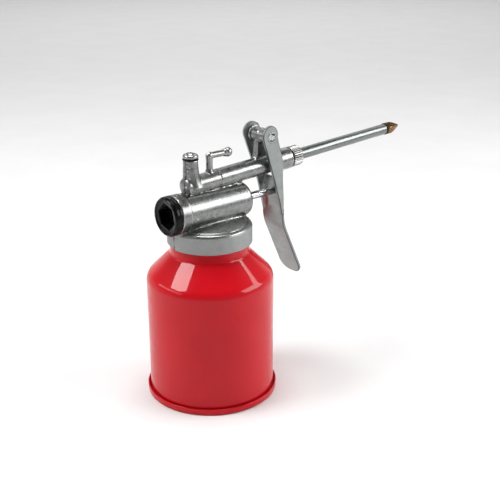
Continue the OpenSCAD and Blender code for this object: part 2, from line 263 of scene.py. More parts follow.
def plate(x, z, outline):
    """Signed distance in the XZ plane to a closed outline."""
    best = np.full(x.shape, FAR)
    inside = np.zeros(x.shape, bool)
    for (x0, z0), (x1, z1) in zip(outline, outline[1:] + outline[:1]):
        dx, dz = x1 - x0, z1 - z0
        t = np.clip(((x - x0) * dx + (z - z0) * dz) / (dx * dx + dz * dz), 0, 1)
        best = np.minimum(best, (x - x0 - t * dx) ** 2 + (z - z0 - t * dz) ** 2)
        if dz:
            inside ^= ((z0 <= z) != (z1 <= z)) & (x < x0 + (z - z0) / dz * dx)
    return np.where(inside, -1, 1) * np.sqrt(best)


def ripple(p, length, seed):
    """Smooth seeded waviness from -1 to 1, with bumps about length across."""
    source = np.random.default_rng(seed)
    total = np.zeros(p.shape[:-1])
    for _ in range(7):
        wave = source.normal(size=3)
        wave *= 2 * math.pi / length / np.linalg.norm(wave) * source.uniform(0.6, 1.3)
        total += np.sin(p @ wave + source.uniform(0, 2 * math.pi))
    return total / 3.5


def mesh_field(name, field, low, high, step):
    """The zero surface of a field as a mesh, with its points pulled exactly onto the surface."""
    block = 8
    low = np.array(low, float)
    count = np.ceil((np.array(high, float) - low) / step / block).astype(int)
    centres = np.stack(np.meshgrid(*[np.arange(n) for n in count], indexing="ij"), -1)
    coarse = field(low + (centres * block + (block - 1) / 2) * step)
    values = np.repeat(np.repeat(np.repeat(coarse, block, 0), block, 1), block, 2)
    values = values.astype(np.float32)
    near = np.argwhere(np.abs(coarse) < block * step * 0.95)
    offsets = np.stack(np.meshgrid(*[np.arange(block)] * 3, indexing="ij"), -1).reshape(-1, 3)
    for start in range(0, len(near), 512):
        cells = (near[start:start + 512, None, :] * block + offsets[None]).reshape(-1, 3)
        values[cells[:, 0], cells[:, 1], cells[:, 2]] = field(low + cells * step)
    grid = openvdb.FloatGrid(background=1e6)
    grid.copyFromArray(values)
    points, quads = grid.convertToQuads(0.0)
    points = points.astype(float) * step + low
    for _ in range(3):
        away, slope = field(points), gradient(field, points)
        steep = np.maximum((slope * slope).sum(-1), 0.25)
        move = slope * (away / steep)[:, None]
        size = np.maximum(np.linalg.norm(move, axis=-1, keepdims=True), 1e-9)
        points -= move * np.minimum(1, 0.5 * step / size)
    return make_object(name, points, [list(map(int, q)) for q in quads])


def gradient(field, points, reach=0.02):
    return np.stack([(field(points + reach * axis) - field(points - reach * axis)) / (2 * reach)
                     for axis in (X, Y, Z)], -1)


# ---------------------------------------------------------------- materials

class Surface:
    """A small builder of node materials around one Principled shader."""

    def __init__(self, name, metallic=0.0, **sockets):
        self.material = bpy.data.materials.new(name)
        self.material.use_nodes = True
        self.nodes = self.material.node_tree.nodes
        self.links = self.material.node_tree.links
        self.shader = self.nodes["Principled BSDF"]
        self.shader.inputs["Metallic"].default_value = metallic
        for key, value in sockets.items():
            self.shader.inputs[key.replace("_", " ")].default_value = value
        self.place = self.nodes.new("ShaderNodeTexCoord").outputs["Object"]
        self.bump = None

    def noise(self, size_mm, detail=3.0, roughness=0.55, stretch=(1, 1, 1), distortion=0.0):
        """Noise with features about size_mm across, finer along an axis by its stretch."""
        mapping = self.nodes.new("ShaderNodeMapping")
        mapping.inputs["Scale"].default_value = [s / (size_mm * MM) for s in stretch]
        texture = self.nodes.new("ShaderNodeTexNoise")
        texture.inputs["Scale"].default_value = 1.0
        texture.inputs["Detail"].default_value = detail
        texture.inputs["Roughness"].default_value = roughness
        texture.inputs["Distortion"].default_value = distortion
        self.links.new(self.place, mapping.inputs["Vector"])
        self.links.new(mapping.outputs["Vector"], texture.inputs["Vector"])
        return texture.outputs["Fac"]

    def ramp(self, value, *stops):
        """A colour for a value, from stops of (position, colour)."""
        node = self.nodes.new("ShaderNodeValToRGB")
        while len(node.color_ramp.elements) < len(stops):
            node.color_ramp.elements.new(0.5)
        for element, (position, colour) in zip(node.color_ramp.elements, stops):
            element.position = position
            element.color = (*colour, 1.0)
        self.links.new(value, node.inputs["Fac"])
        return node.outputs["Color"]

    def span(self, value, low, high, to_low, to_high):
        """A value moved from one range to another, and held at its ends."""
        node = self.nodes.new("ShaderNodeMapRange")
        self.links.new(value, node.inputs["Value"])
        for key, number in (("From Min", low), ("From Max", high),
                            ("To Min", to_low), ("To Max", to_high)):
            node.inputs[key].default_value = number
        return node.outputs["Result"]

    def calc(self, operation, a, b):
        """One step of arithmetic, such as MULTIPLY, on numbers or outputs."""
        node = self.nodes.new("ShaderNodeMath")
        node.operation = operation
        for socket, value in zip(node.inputs, (a, b)):
            if isinstance(value, (int, float)):
                socket.default_value = value
            else:
                self.links.new(value, socket)
        return node.outputs["Value"]

    def blend(self, factor, a, b):
        """Colour a turned into colour b by a factor."""
        node = self.nodes.new("ShaderNodeMix")
        node.data_type = "RGBA"
        for socket, value in ((node.inputs[0], factor), (node.inputs[6], a), (node.inputs[7], b)):
            if isinstance(value, (int, float)):
                socket.default_value = value
            elif isinstance(value, tuple):
                socket.default_value = (*value, 1.0)
            else:
                self.links.new(value, socket)
        return node.outputs[2]

    def axis(self, which):
        """The place along one of the object's axes, in metres."""
        node = self.nodes.new("ShaderNodeSeparateXYZ")
        self.links.new(self.place, node.inputs["Vector"])
        return node.outputs[which]

    def colour(self, value):
        self.links.new(value, self.shader.inputs["Base Color"])

    def rough(self, value):
        self.links.new(value, self.shader.inputs["Roughness"])

    def dent(self, height, depth_mm):
        """Adds a height pattern that rises and falls by about depth_mm."""
        node = self.nodes.new("ShaderNodeBump")
        node.inputs["Strength"].default_value = 1.0
        node.inputs["Distance"].default_value = depth_mm * MM
        self.links.new(height, node.inputs["Height"])
        if self.bump is not None:
            self.links.new(self.bump, node.inputs["Normal"])
        self.bump = node.outputs["Normal"]
        self.links.new(self.bump, self.shader.inputs["Normal"])

    def edges(self, low=0.5, high=0.56):
        """1 on convex edges and 0 elsewhere; with high below low, 1 in the hollows."""
        node = self.nodes.new("ShaderNodeNewGeometry")
        return self.span(node.outputs["Pointiness"], low, high, 0.0, 1.0)


def red_paint():
    s = Surface("red_enamel", Coat_Weight=0.7, Coat_Roughness=0.04, Coat_IOR=1.4,
                Specular_IOR_Level=0.05)
    tone = s.noise(28, 2)
    s.colour(s.ramp(tone, (0.3, (0.50, 0.003, 0.009)), (0.7, (0.56, 0.004, 0.0115))))
    s.rough(s.span(s.noise(3, 4), 0.3, 0.7, 0.30, 0.42))
    s.dent(s.noise(2.6, 2), 0.006)
    s.dent(s.noise(34, 1), 0.05)
    return s.material


def cast_aluminium():
    """Dull collar, brighter worn upper casting, dark rear parting line and painted shade in the
    valley between barrel and tube.
    """
    s = Surface("cast_aluminium", 1.0)
    height = s.axis(2)
    upper = s.span(height, 0.0913, 0.0917, 0.0, 1.0)
    mottle = s.noise(3.2, 5, 0.62, distortion=0.6)
    bright = s.ramp(mottle, (0.30, (0.17, 0.175, 0.175)), (0.52, (0.225, 0.23, 0.225)),
                    (0.72, (0.29, 0.29, 0.285)))
    dull = s.ramp(s.noise(7, 5, 0.6), (0.3, (0.31, 0.325, 0.32)), (0.7, (0.37, 0.38, 0.375)))
    body = s.blend(upper, dull, bright)
    worn = s.blend(s.calc("MULTIPLY", upper, s.edges()), body, (0.55, 0.55, 0.54))
    darkening = s.span(s.noise(0.55, 3, 0.7), 0.62, 0.70, 0.0, 0.15)
    worn = s.blend(darkening, worn, (0.16, 0.16, 0.155))
    wander = s.calc("ADD", s.axis(1), s.span(height, 0.098, 0.106, 0.0, 0.0009))
    line = s.span(s.calc("ABSOLUTE", wander, 0.0), 0.00035, 0.0008, 1.0, 0.0)
    rear = s.calc("MULTIPLY", line, s.span(s.axis(0), -0.0118, -0.0128, 0.0, 0.85))
    broken = s.calc("MULTIPLY", rear, s.span(s.noise(1.1, 3), 0.4, 0.6, 1.0, 0.3))
    # painted shade: the valley between the barrel and the outlet tube is darkened in patches
    above = s.calc("SUBTRACT", height, 0.1102)
    valley = s.span(s.calc("ABSOLUTE", above, 0.0), 0.0004, 0.0009, 1.0, 0.0)
    inner = s.span(s.calc("ABSOLUTE", s.axis(1), 0.0), 0.0040, 0.0046, 0.8, 0.0)
    patchy = s.span(s.noise(2.0, 3), 0.36, 0.5, 1.0, 0.4)
    valley_shade = s.calc("MULTIPLY", s.calc("MULTIPLY", valley, inner), patchy)
    s.colour(s.blend(s.calc("MAXIMUM", broken, valley_shade), worn, (0.02, 0.02, 0.02)))
    shine = s.span(s.noise(2.1, 4, 0.6), 0.3, 0.7, 0.24, 0.36)
    matt = s.span(s.noise(1.2, 3, 0.6), 0.3, 0.7, 0.52, 0.64)
    s.rough(s.calc("ADD", s.calc("MULTIPLY", upper, shine),
                  s.calc("MULTIPLY", s.calc("SUBTRACT", 1.0, upper), matt)))
    s.dent(s.noise(4.2, 2, 0.5, distortion=0.5), 0.006)
    s.dent(s.noise(0.8, 3, 0.6), 0.004)
    return s.material


def zinc_steel():
    s = Surface("zinc_plated_steel", 1.0)
    cloud = s.noise(6, 5, 0.6, distortion=0.5)
    plated = s.ramp(cloud, (0.3, (0.26, 0.283, 0.278)), (0.7, (0.33, 0.353, 0.348)))
    # painted shade: the sheet's convex edges are darkened
    s.colour(s.blend(s.edges(0.505, 0.54), plated, (0.10, 0.105, 0.105)))
    s.rough(s.span(s.noise(1.4, 4, 0.6), 0.3, 0.7, 0.34, 0.48))
    s.dent(s.noise(0.5, 3, 0.6), 0.012)
    s.dent(s.noise(9, 2), 0.04)
    return s.material


def polished(name, low, high, rough, along=None, darkening=False):
    """A bright turned or drawn metal; along is the axis that its fine lines run along, and
    darkening paints shade into the hollows.
    """
    s = Surface(name, 1.0)
    stretch = [1.0, 1.0, 1.0] if along is None else [0.06 if i == along else 1.0 for i in range(3)]
    lines = s.noise(0.25, 4, 0.6, stretch=stretch)
    cloud = s.noise(5, 3)
    tone = s.calc("ADD", s.calc("MULTIPLY", lines, 0.5), s.calc("MULTIPLY", cloud, 0.5))
    metal = s.ramp(tone, (0.35, low), (0.65, high))
    if darkening:
        # painted shade: the hollows are darkened
        metal = s.blend(s.edges(0.49, 0.44), metal, (0.02, 0.02, 0.02))
    s.colour(metal)
    s.rough(s.span(lines, 0.3, 0.7, rough * 0.75, rough * 1.3))
    s.dent(lines, 0.004)
    return s.material


def rivet_plating_and_painted_reflection():
    """The bore painted near-white as a painted reflection; the rolled lips as dull as the lever."""
    s = Surface("rivet_plating_and_painted_reflection", 1.0)
    lip = s.span(s.calc("ABSOLUTE", s.axis(1), 0.0), 0.0079, 0.0080, 0.0, 1.0)
    # painted reflection: the bore's inner wall is near-white
    bore = s.ramp(s.noise(2, 3), (0.3, (0.86, 0.86, 0.86)), (0.7, (0.96, 0.96, 0.96)))
    s.colour(s.blend(lip, bore, (0.30, 0.32, 0.315)))
    s.rough(s.span(s.noise(0.8, 3), 0.3, 0.7, 0.08, 0.16))
    s.dent(s.noise(0.6, 2), 0.003)
    return s.material


def black_plastic():
    s = Surface("black_plastic", Specular_IOR_Level=0.12, Coat_Weight=0.12, Coat_Roughness=0.05)
    black = s.ramp(s.noise(4, 3), (0.3, (0.002, 0.002, 0.0025)), (0.7, (0.004, 0.004, 0.0045)))
    # painted highlight: the convex edges are lighter
    s.colour(s.blend(s.edges(0.54, 0.60), black, (0.022, 0.022, 0.024)))
    s.rough(s.span(s.noise(1.5, 4), 0.3, 0.7, 0.16, 0.30))
    s.dent(s.noise(0.7, 3), 0.006)
    return s.material


def rubber():
    s = Surface("black_rubber", Specular_IOR_Level=0.2)
    s.colour(s.ramp(s.noise(2, 3), (0.3, (0.004, 0.004, 0.004)), (0.7, (0.009, 0.009, 0.009))))
    s.rough(s.span(s.noise(0.8, 3), 0.3, 0.7, 0.42, 0.6))
    s.dent(s.noise(0.4, 2), 0.01)
    return s.material


def fibre():
    s = Surface("red_fibre")
    s.colour(s.ramp(s.noise(0.7, 4, stretch=(1, 1, 4)), (0.3, (0.16, 0.045, 0.03)),
                    (0.7, (0.30, 0.09, 0.06))))
    s.rough(s.span(s.noise(0.5, 3), 0.3, 0.7, 0.6, 0.8))
    s.dent(s.noise(0.35, 3), 0.02)
    return s.material


def clear_plastic():
    s = Surface("clear_plastic", Transmission_Weight=0.75, IOR=1.5)
    s.colour(s.ramp(s.noise(9, 3), (0.3, (0.80, 0.80, 0.76)), (0.7, (0.90, 0.90, 0.87))))
    s.rough(s.span(s.noise(2, 3), 0.3, 0.7, 0.22, 0.36))
    s.dent(s.noise(3, 2, stretch=(1, 1, 0.1)), 0.02)
    return s.material


def floor_material():
    s = Surface("pale_floor")
    s.colour(s.ramp(s.noise(60, 3), (0.3, (0.74, 0.74, 0.74)), (0.7, (0.77, 0.77, 0.77))))
    s.rough(s.span(s.noise(20, 3), 0.3, 0.7, 0.55, 0.65))
    return s.material


PAINT = {
    "red_paint": red_paint(),
    "cast_aluminium": cast_aluminium(),
    "zinc_steel": zinc_steel(),
    "bright_steel": polished("bright_steel", (0.58, 0.58, 0.59), (0.76, 0.76, 0.77), 0.16, along=0),
    "spring_steel": polished("spring_steel", (0.34, 0.34, 0.35), (0.5, 0.5, 0.51), 0.3),
    "bright_plating": polished("bright_plating", (0.27, 0.27, 0.265), (0.42, 0.42, 0.41), 0.2),
    "rivet_plating_and_painted_reflection": rivet_plating_and_painted_reflection(),
    # the nut's knurl grooves get painted shade
    "nut_plating": polished("nut_plating", (0.24, 0.24, 0.235), (0.34, 0.34, 0.335), 0.16,
                            darkening=True),
    "spout_steel": polished("spout_steel", (0.18, 0.195, 0.19), (0.21, 0.225, 0.22), 0.30, along=0),
    "brass": polished("brass", (0.46, 0.29, 0.09), (0.62, 0.42, 0.15), 0.24),
    "tip_brass": polished("tip_brass", (0.16, 0.085, 0.035), (0.30, 0.17, 0.075), 0.24),
    "black_plastic": black_plastic(),
    "clear_plastic": clear_plastic(),
    "fibre": fibre(),
    "rubber": rubber(),
}


def finish(obj, body, slot, *nodes, look=None):
    """Paints a piece, sets it on its CAD body and lets it stand for its CAD nodes."""
    obj.data.materials.clear()
    obj.data.materials.append(PAINT[look or slot])
    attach(obj, body)
    if nodes:
        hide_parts(*nodes)
    return obj


def repaint(node, slot):
    """Gives a CAD node that stays as it is one of the materials above."""
    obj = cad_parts[node]
    obj.data.materials.clear()
    obj.data.materials.append(PAINT[slot])
    obj.data.shade_smooth()
    obj.data.set_sharp_from_angle(angle=math.radians(35))


# ---------------------------------------------------------------- the can

def thread(angle, z, base, depth):
    """Radius of a helical thread at a height. The neck and the collar share its pitch."""
    phase = (z / THREAD_PITCH - angle / (2 * math.pi)) % 1
    return base + depth * np.clip(1.6 - np.abs(phase - 0.5) * 5.2, 0, 1)


def neck_thread(z):
    """The neck's radius by angle at a height. Its thread fades out at both ends."""
    depth = 0.45 * min(1, (z - THREAD_START) / 1.2, (THREAD_END - z) / 1.0)
    return lambda angle: thread(angle, z, NECK_RADIUS, depth)


def make_can():
    """The drawn body with its shoulder and threaded neck, and the base seamed to it."""
    outer = rounded([
        (CAN_FOOT, CAN_RADIUS), (SHOULDER_Z, CAN_RADIUS, 6.8), (77.7, 20.6, 2.2), (81.6, 20, 1.2),
        (82.2, 20.0, 0.3), (82.6, NECK_RADIUS, 0.2), (THREAD_START, NECK_RADIUS)], 8)
    threaded = [(z, neck_thread(z)) for z in np.arange(THREAD_START + 0.2, THREAD_END - 0.1, 0.2)]
    inner = rounded([
        (THREAD_END, NECK_RADIUS), (NECK_TOP, NECK_RADIUS, 0.35), (NECK_TOP, 18.1, 0.5),
        (87.2, 18.1, 0.5), (86.6, 19.0, 0.5), (82.4, 19.0, 0.4), (81.9, 19.4, 0.6),
        (78.5, 19.4, 2), (SHOULDER_Z, CAN_INSIDE, 5), (CAN_FOOT, CAN_INSIDE)], 6)
    shell = lathe("can_body", outer + threaded + inner, at(0, 0, 0), turns=192, closed=True)
    finish(shell, "can", "red_paint", "can_shell")

    base = rounded([
        (2.4, 0), (2.4, 12.0, 3), (1.9, 13.2, 2), (1.9, 15.4, 2), (2.4, 16.6, 2),
        (2.4, 24.0, 3), (1.95, 25.2, 2), (1.95, 26.8, 2), (2.4, 28.0, 2),
        (2.4, 31.0, 0.8), (1.2, 31.8, 0.6), (0.0, 32.1, 0.5), (0.0, RIM_RADIUS, 0.85),
        (3.5, RIM_RADIUS, 0.28), (3.5, 33.95, 0.25), (1.7, 33.75, 0.3), (1.4, CAN_RADIUS),
        (CAN_FOOT, CAN_RADIUS), (CAN_FOOT, CAN_INSIDE), (3.0, CAN_INSIDE), (3.0, 0)], 6)
    rim = lathe("can_rim", base, at(0, 0, 0), turns=192)
    finish(rim, "can", "red_paint", "can_base")


# ---------------------------------------------------------------- the cast head

def collar_field(p):
    """The screw collar that closes the can, with its rounded shoulder and deck."""
    x, y, z = p[..., 0], p[..., 1], p[..., 2]
    r = np.hypot(x, y)
    side = both(r - 22.0, np.abs(z - 87.05) - 4.25, 0.25)
    bead = np.hypot(r - 20.55, z - 91.45) - 1.25
    drum = both(r - 20.0, np.abs(z - 90) - 2.6, 0.3)
    dome = both(r - 19.3, dist(p, at(0, 0, DECK_TOP - DECK_CURVE)) - DECK_CURVE, 0.35)
    dome = np.maximum(dome, 88 - z)
    return join(join(join(side, bead, 0.3), drum, 0.3), dome, 0.35)


def barrel_field(p):
    """The pump barrel, a little thinner towards its front, with a lip round its rear."""
    taper = lambda s: 9.86 - 0.92 * s / 50
    main = rod(p, on_barrel(-20.5), X, 43.6, taper, 3.2)
    lip = rod(p, on_barrel(PLUG_BACK), X, 5.1, 10.08, 0.22)
    return join(main, lip, 0.12)


def outlet_field(p):
    """The outlet tube with its domed tail, and the boss that the spout screws to."""
    step = lambda s: np.where(s < 21.5, 4.66, 4.88)
    tube = rod(p, on_tube(-16), TUBE, 62, step, 0.1)
    tube = both(tube, capsule(p, on_tube(-5.0), on_tube(60), 10.5), 0.45)
    end = rod(p, on_tube(43.2), TUBE, 14, 5.7, 2.1)
    end = both(end, (p - on_tube(TUBE_END)) @ TUBE, 0.3)
    return join(tube, end, 0.8)


def valve_field(p):
    """The upright valve boss on its flared foot."""
    x, y, z = p[..., 0], p[..., 1], p[..., 2]
    shaft = rod(p, on_valve(112), Z, 15.2, lambda s: 3.98 - 0.017 * s, 0.3)
    t = np.clip((z - 113.4) / 10.5, 0, 1)
    flare = (1 - t) ** 2.2
    foot = np.hypot(x - (VALVE_X + 1.5 * flare), y) - (3.8 + 2.0 * flare)
    foot = both(0.8 * foot, np.abs(z - 118.4) - 5.0, 0.5)
    return join(shaft, foot, 0.4)


def lug_field(p):
    """The post that carries the lever's pivot."""
    x, y, z = p[..., 0], p[..., 1], p[..., 2]
    outline = [(28.6, 116.5), (30.4, 124), (30.9, 130.4), (32.6, 133.4), (37.2, 133.4),
               (38.6, 130.4), (39.4, 124.4), (42.4, 117.5)]
    post = both(plate(x, z, outline), np.abs(y) - (1.75 - 0.02 * (z - 116)), 0.45)
    boss = rod(p, PIVOT - 5 * Y, Y, 10, 3.6, 0.45)
    return join(post, boss, 1.0)


def hook_field(p):
    """The bent finger with a ball at its end, on top of the outlet tube."""
    foot, elbow, tip = at(0.8, 0, 116), at(0.8, 0, 127.25), at(12.4, 0, 127.3)
    post = capsule(p, foot, elbow, 1.68)
    arm = capsule(p, elbow, tip, 1.56)
    ball = dist(p, tip) - 2.4
    collar = rod(p, at(9.9, 0, 127.3), X, 1.2, 1.95, 0.35)
    pad = rod(p, at(0.8, 0, 116.6), Z, 3.6, lambda s: 3.2 - 0.45 * s, 0.4)
    shape = join(join(post, arm, 0.8), join(ball, collar, 0.5), 0.35)
    return join(shape, pad, 1.0)


def seam_field(p):
    """How far the casting's parting line stands out, strongest on the valve's foot."""
    x, z = p[..., 0], p[..., 2]
    y = p[..., 1] + 0.9 * np.clip((z - 98) / 8, 0, 1) * np.clip((-x - 11) / 2, 0, 1)
    on_collar = np.clip((92.5 - z) / 0.8, 0, 1)
    near_valve = np.clip((-12.6 - x) / 1.5, 0, 1) * np.clip((z - 106) / 4, 0, 1)
    line = (0.14 + 0.2 * on_collar + 0.14 * near_valve) * np.exp(-((y / 0.34) ** 2))
    grain = 0.14 * ripple(p, 1.3, 5) * np.exp(-((y / 1.3) ** 2)) * near_valve
    step = 0.35 * np.clip(0.5 + y / 0.4, 0, 1) * np.clip((-x - 8) / 6, 0, 1)
    return line * (1 + 0.4 * ripple(p, 4, 8)) + grain - step * on_collar


def flash_field(p):
    """The ragged flash in the valley between the barrel and the tube."""
    x, y, z = p[..., 0], p[..., 1], p[..., 2]
    ridge = np.hypot(np.abs(y) - 3.0, z - (110.15 + 0.02 * x)) - 0.16 - 0.14 * ripple(p, 2.6, 11)
    return np.maximum(ridge * 0.7, np.abs(x - 2.5) - 15.5)


def bead_field(p):
    """A thin cast bead along the corner between the barrel and the collar's deck."""
    x, y, z = p[..., 0], np.abs(p[..., 1]), p[..., 2]
    near = np.clip(x, -18, 18)
    deck = DECK_TOP - DECK_CURVE + np.sqrt(DECK_CURVE ** 2 - near ** 2 - 44)
    corner = np.sqrt(np.maximum(9.4 ** 2 - (BARREL_Z - deck) ** 2, 0)) + 0.25
    return np.maximum(np.hypot(y - corner, z - deck - 0.1) - 0.38, np.abs(x - 1) - 16)


def head_holes(p):
    """Everything that is bored or cored out of the casting."""
    x, y, z = p[..., 0], p[..., 1], p[..., 2]
    angle = np.arctan2(y, x)
    bore_wall = thread(angle, z, 20.3, 0.42 * np.clip((88.6 - z) / 1.0, 0, 1))
    inside = both(0.9 * (np.hypot(x, y) - bore_wall), z - 90, 0.4)
    inlet_boss = both(np.hypot(x - VALVE_X, y) - 4.6, 81.0 - z)
    inside = carve(inside, inlet_boss, 0.6)
    # a cross slot over the inlet chamber, which the ball can't close
    slot = np.maximum(np.maximum(np.abs(x - VALVE_X) - 2.2, np.abs(y) - 0.8), np.abs(z - 94) - 3)
    holes = [
        inside,
        rod(p, on_barrel(-15), X, 33.1, BORE_RADIUS, 0.05),         # pump bore
        rod(p, on_barrel(-24), X, 10.0, 8.0, 0.05),                 # plug's counterbore
        rod(p, on_barrel(BUSH_BACK - 0.4), X, 4.4, 3.5, 0.05),      # bush's seat
        rod(p, on_barrel(BUSH_BACK - 0.4), X, 9, 2.35, 0.05),       # rod's hole
        rod(p, on_valve(VALVE_SEAT), Z, 20, 2.6, 0.05),             # outlet ball's chamber
        rod(p, on_valve(104), Z, 6, PORT_RADIUS, 0.02),             # port up from the pump bore
        rod(p, on_valve(80), Z, 6.4, 3.0, 0.05),                    # inlet seat's hole
        rod(p, on_valve(80), Z, 12.5, 2.6, 0.05),                   # inlet ball's chamber
        slot,
        rod(p, on_tube(VALVE_X), TUBE, 56, 2.2, 0.05),              # outlet bore
        rod(p, on_tube(42.1), TUBE, 12, 3.95, 0.05),                # spout's socket
        rod(p, PIVOT - LEVER_HALF * Y, Y, 2 * LEVER_HALF, PIN_RADIUS + 0.05, 0.05),
    ]
    total = holes[0]
    for hole in holes[1:]:
        total = np.minimum(total, hole)
    return total


def head_field(p):
    """The whole casting: its parts melted together, its skin roughened, its bores cut."""
    x, y, z = p[..., 0], p[..., 1], p[..., 2]
    outline = [(-14.2, 100), (-14.2, 114), (20.3, 115.6), (19.1, 107)]
    web = both(plate(x, z, outline), np.abs(y) - 2.6, 0.3)
    pump = join(barrel_field(p), web, 0.5)
    pump = join(pump, outlet_field(p), 0.5)
    pump = np.minimum(pump, flash_field(p))
    pump = join(pump, collar_field(p), 0.9)
    pump = join(pump, bead_field(p), 0.2)
    pump = join(pump, valve_field(p), 0.35)
    pump = join(pump, lug_field(p), 1.3)
    pump = join(pump, hook_field(p), 0.7)
    boss = rod(p, on_valve(82), Z, 9, 4.6, 0.3)
    pump = join(pump, boss, 0.8)
    skin = pump - seam_field(p) + 0.006 * ripple(p, 5.5, 3)
    return carve(skin, head_holes(p), 0.16)


def make_head():
    """One casting: collar, barrel, outlet tube, valve boss, lug and hook."""
    head = mesh_field("head_casting", head_field, (-23.2, -22.8, 81.4), (57, 22.8, 137), 0.32)
    finish(head, "head", "cast_aluminium", "pump_head")


# ---------------------------------------------------------------- plug, valve cap, seals

def ring(start, end, inner, outer, fillet):
    """Profile of a flat ring with its outer edges rounded."""
    return rounded([(start, inner), (start, outer, fillet), (end, outer, fillet), (end, inner)], 5)


def hexagon(across, turn, blunt=0.985):
    """Radius of a hexagon hole at each angle, its corners a little blunt."""
    def radius(angle):
        m = (angle - turn) % (math.pi / 3) - math.pi / 6
        return np.minimum(across / 2 / np.cos(m), across / 2 / math.cos(math.pi / 6) * blunt)
    return radius


def grown(radius, extra):
    return lambda angle: radius(angle) + extra


def make_plug():
    """The black screw plug: a flange, a rounded ring and a deep hexagon socket."""
    sock = hexagon(12, math.radians(-15))
    shank = 7.95
    outside = rounded([
        (-14.4, 0), (-14.4, shank, 0.3), (-16.7, shank, 0.1), (-16.7, 6.6, 0.1),
        (-18.6, 6.6, 0.1), (-18.6, shank, 0.1), (PLUG_BACK, shank, 0.05),
        (PLUG_BACK, 9.75, 0.25), (-22.75, 10.1, 0.25), (-23.7, 10.1, 0.3),
        (-23.95, 9.72, 0.15), (-24.2, 9.72, 0.15), (-24.45, 10.05, 0.3), (-25.6, 10.02, 0.6),
        (-26.5, 9.45, 0.35), (-26.8, 9.15, 0.25), (-26.8, 8.55, 0.25), (-26.3, 8.25, 0.2),
        (-26.1, 7.75)], 5)
    socket = [(-26.05, grown(sock, 0.42)), (-26.02, grown(sock, 0.30)), (-25.9, grown(sock, 0.14)),
              (-25.7, grown(sock, 0.03)), (-25.5, sock), (-22.5, sock), (-19.7, sock),
              (-19.5, grown(sock, -0.2)), (-19.5, 4.6), (-18.3, 0)]
    plug = lathe("end_plug", outside + socket, on_barrel(), X, turns=144)
    finish(plug, "head", "black_plastic", "rear_plug")


def cap_field(p):
    """The domed cap screw with its dish and screwdriver slot."""
    x, y, z = p[..., 0], p[..., 1], p[..., 2]
    shank = rod(p, on_valve(120.5), Z, 8.4, 2.55, 0.2)
    r = np.hypot(x - VALVE_X, y)
    rim = rod(p, on_valve(127.9), Z, 2.1, lambda s: 3.9 - 0.16 * (s - 0.9) ** 2, 0.75)
    crown = both(r - 3.0, dist(p, on_valve(127.2)) - 3.85, 0.3)
    dish = dist(p, on_valve(134.2)) - 4.0
    turn = math.radians(-36)
    u = (x - VALVE_X) * math.cos(turn) + y * math.sin(turn)
    v = -(x - VALVE_X) * math.sin(turn) + y * math.cos(turn)
    slot = both(both(np.abs(u) - 2.3, np.abs(v) - 0.5, 0.2), 129.75 - z, 0.1)
    cap = join(join(shank, rim, 0.2), both(crown, 128.5 - z, 0.0), 0.35)
    return carve(carve(cap, dish, 0.3), slot, 0.25)


def make_cap():
    """The cap screw and the black ring under its head."""
    cap = mesh_field("valve_cap_screw", cap_field, (-15.2, -4.6, 120), (-6, 4.6, 131.4), 0.14)
    finish(cap, "head", "bright_plating", "valve_cap")
    seal = lathe("valve_seal", ring(127.2, 127.9, 2.62, 3.97, 0.15), on_valve(), turns=72,
                 closed=True)
    finish(seal, "head", "rubber", "valve_cap_seal")


# ---------------------------------------------------------------- the lever

def arc(cx, cz, radius, first, last, count):
    return [(cx + radius * math.cos(math.radians(first + (last - first) * i / count)),
             cz + radius * math.sin(math.radians(first + (last - first) * i / count)))
            for i in range(count + 1)]


def channel_field(x, dished, y, z):
    """The lever's two cheeks and its web, bent from one sheet."""
    # the cheeks open out a little towards their free edges
    splayed = y - math.tan(math.radians(5)) * (PIVOT[0] - x) * np.clip((z - 98) / 10, 0, 1)
    outside = both(dished - WEB_FRONT, splayed - LEVER_HALF, 0.8)
    fillet = 0.3 + 3.5 * np.exp(-((z - 99) / 7.5) ** 4)
    inside = both(dished - WEB_FRONT + SHEET, splayed - LEVER_HALF + SHEET, fillet)
    shell = np.maximum(outside, -inside)
    cheek = arc(34.2, 133.2, 5.25, -14, 196, 20) + [
        (34.0, 118.4), (37.8, 107.2), (40.9, 96), (42.1, 90.5), (42.4, 89.2), (47, 89.2),
        (47, 112.0), (43.9, 112.2), (43.5, 118.4)]
    channel = both(shell, plate(x, z, cheek), 0.22)
    # above the rod the web is cut away
    window = both(both(y - 6.5, 108.6 - z, 2.4), 38.5 - x, 0.0)
    return carve(channel, window, 0.3)


def grip_field(dished, y, z):
    """The web carried on downwards, round a gentle bend, as a flat tongue."""
    slope = math.radians(GRIP_SLOPE)
    down = np.array((math.sin(slope), -math.cos(slope)))
    bend_z, foot_z, radius = 84.6, 51.5, 22.0
    bend_at = np.array((WEB_FRONT - SHEET / 2, bend_z))
    foot = bend_at + down * (bend_z - foot_z) / math.cos(slope)
    reach = radius * math.tan(slope / 2)
    centre = np.array((bend_at[0] + radius, bend_at[1] + reach))
    # how far off the middle of the sheet: above, in and below the bend
    upper = np.where(z > centre[1], np.abs(dished - bend_at[0]), FAR)
    ax, az = dished - centre[0], z - centre[1]
    turn = np.degrees(np.arctan2(-az, -ax))
    curve = np.where((turn >= 0) & (turn <= GRIP_SLOPE), np.abs(np.hypot(ax, az) - radius), FAR)
    lx, lz = dished - bend_at[0], z - bend_at[1]
    along = lx * down[0] + lz * down[1]
    off = lx * -down[1] + lz * down[0]
    lower = np.where((along >= reach) & (turn > GRIP_SLOPE), np.abs(off), FAR)
    middle = np.minimum(np.minimum(upper, curve), lower)
    sheet = np.where(middle > FAR / 10, np.hypot(lx, lz), middle) - SHEET / 2
    length = float(np.linalg.norm(foot - bend_at))
    tongue = both(along - length, y - LEVER_HALF, 6.2)
    return both(both(sheet, tongue, 0.3), z - 92, 0.3)


